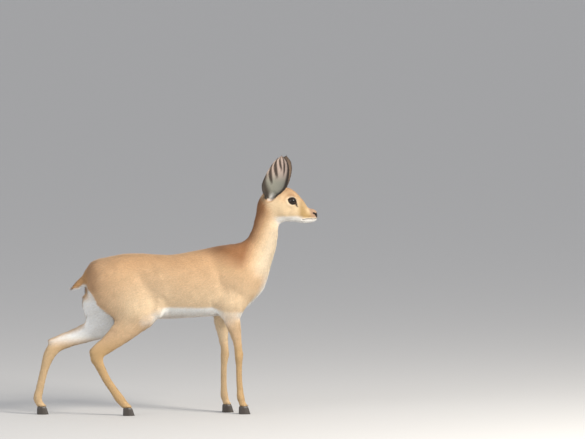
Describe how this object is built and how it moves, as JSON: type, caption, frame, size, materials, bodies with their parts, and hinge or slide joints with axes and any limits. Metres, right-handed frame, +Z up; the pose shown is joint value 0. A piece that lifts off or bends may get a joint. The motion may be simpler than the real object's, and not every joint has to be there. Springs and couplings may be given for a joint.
{
  "type": "steenbok ewe",
  "caption": "Life-size still model of a small slender antelope ewe walking, with big cupped ears, a short tail, long thin legs and paired pointed hooves.",
  "frame": {"origin": "on the ground, under the middle of the animal's own box", "axes": "+X the way it faces, +Y its left side, +Z up"},
  "size_m": [0.883, 0.1486, 0.8003],
  "materials": {
    "coat": "short smooth fur, tawny, white below",
    "ear": "thin-furred skin, pale inside with dark streaks, tawny behind",
    "eye": "wet and glossy, nearly black brown",
    "hoof": "dark horn, satin"
  },
  "bodies": {
    "root": {"torso": "coat", "neck": "coat", "head": "coat", "tail": "coat", "eye_right": "eye", "eye_left": "eye", "ear_right": "ear", "ear_left": "ear", "fore_right_forearm": "coat", "fore_right_cannon": "coat", "fore_right_pastern": "coat", "fore_right_hoof_inner": "hoof", "fore_right_hoof_outer": "hoof", "fore_left_forearm": "coat", "fore_left_cannon": "coat", "fore_left_pastern": "coat", "fore_left_hoof_inner": "hoof", "fore_left_hoof_outer": "hoof", "hind_right_gaskin": "coat", "hind_right_cannon": "coat", "hind_right_pastern": "coat", "hind_right_hoof_inner": "hoof", "hind_right_hoof_outer": "hoof", "hind_left_gaskin": "coat", "hind_left_cannon": "coat", "hind_left_pastern": "coat", "hind_left_hoof_inner": "hoof", "hind_left_hoof_outer": "hoof"}
  },
  "joints": []
}
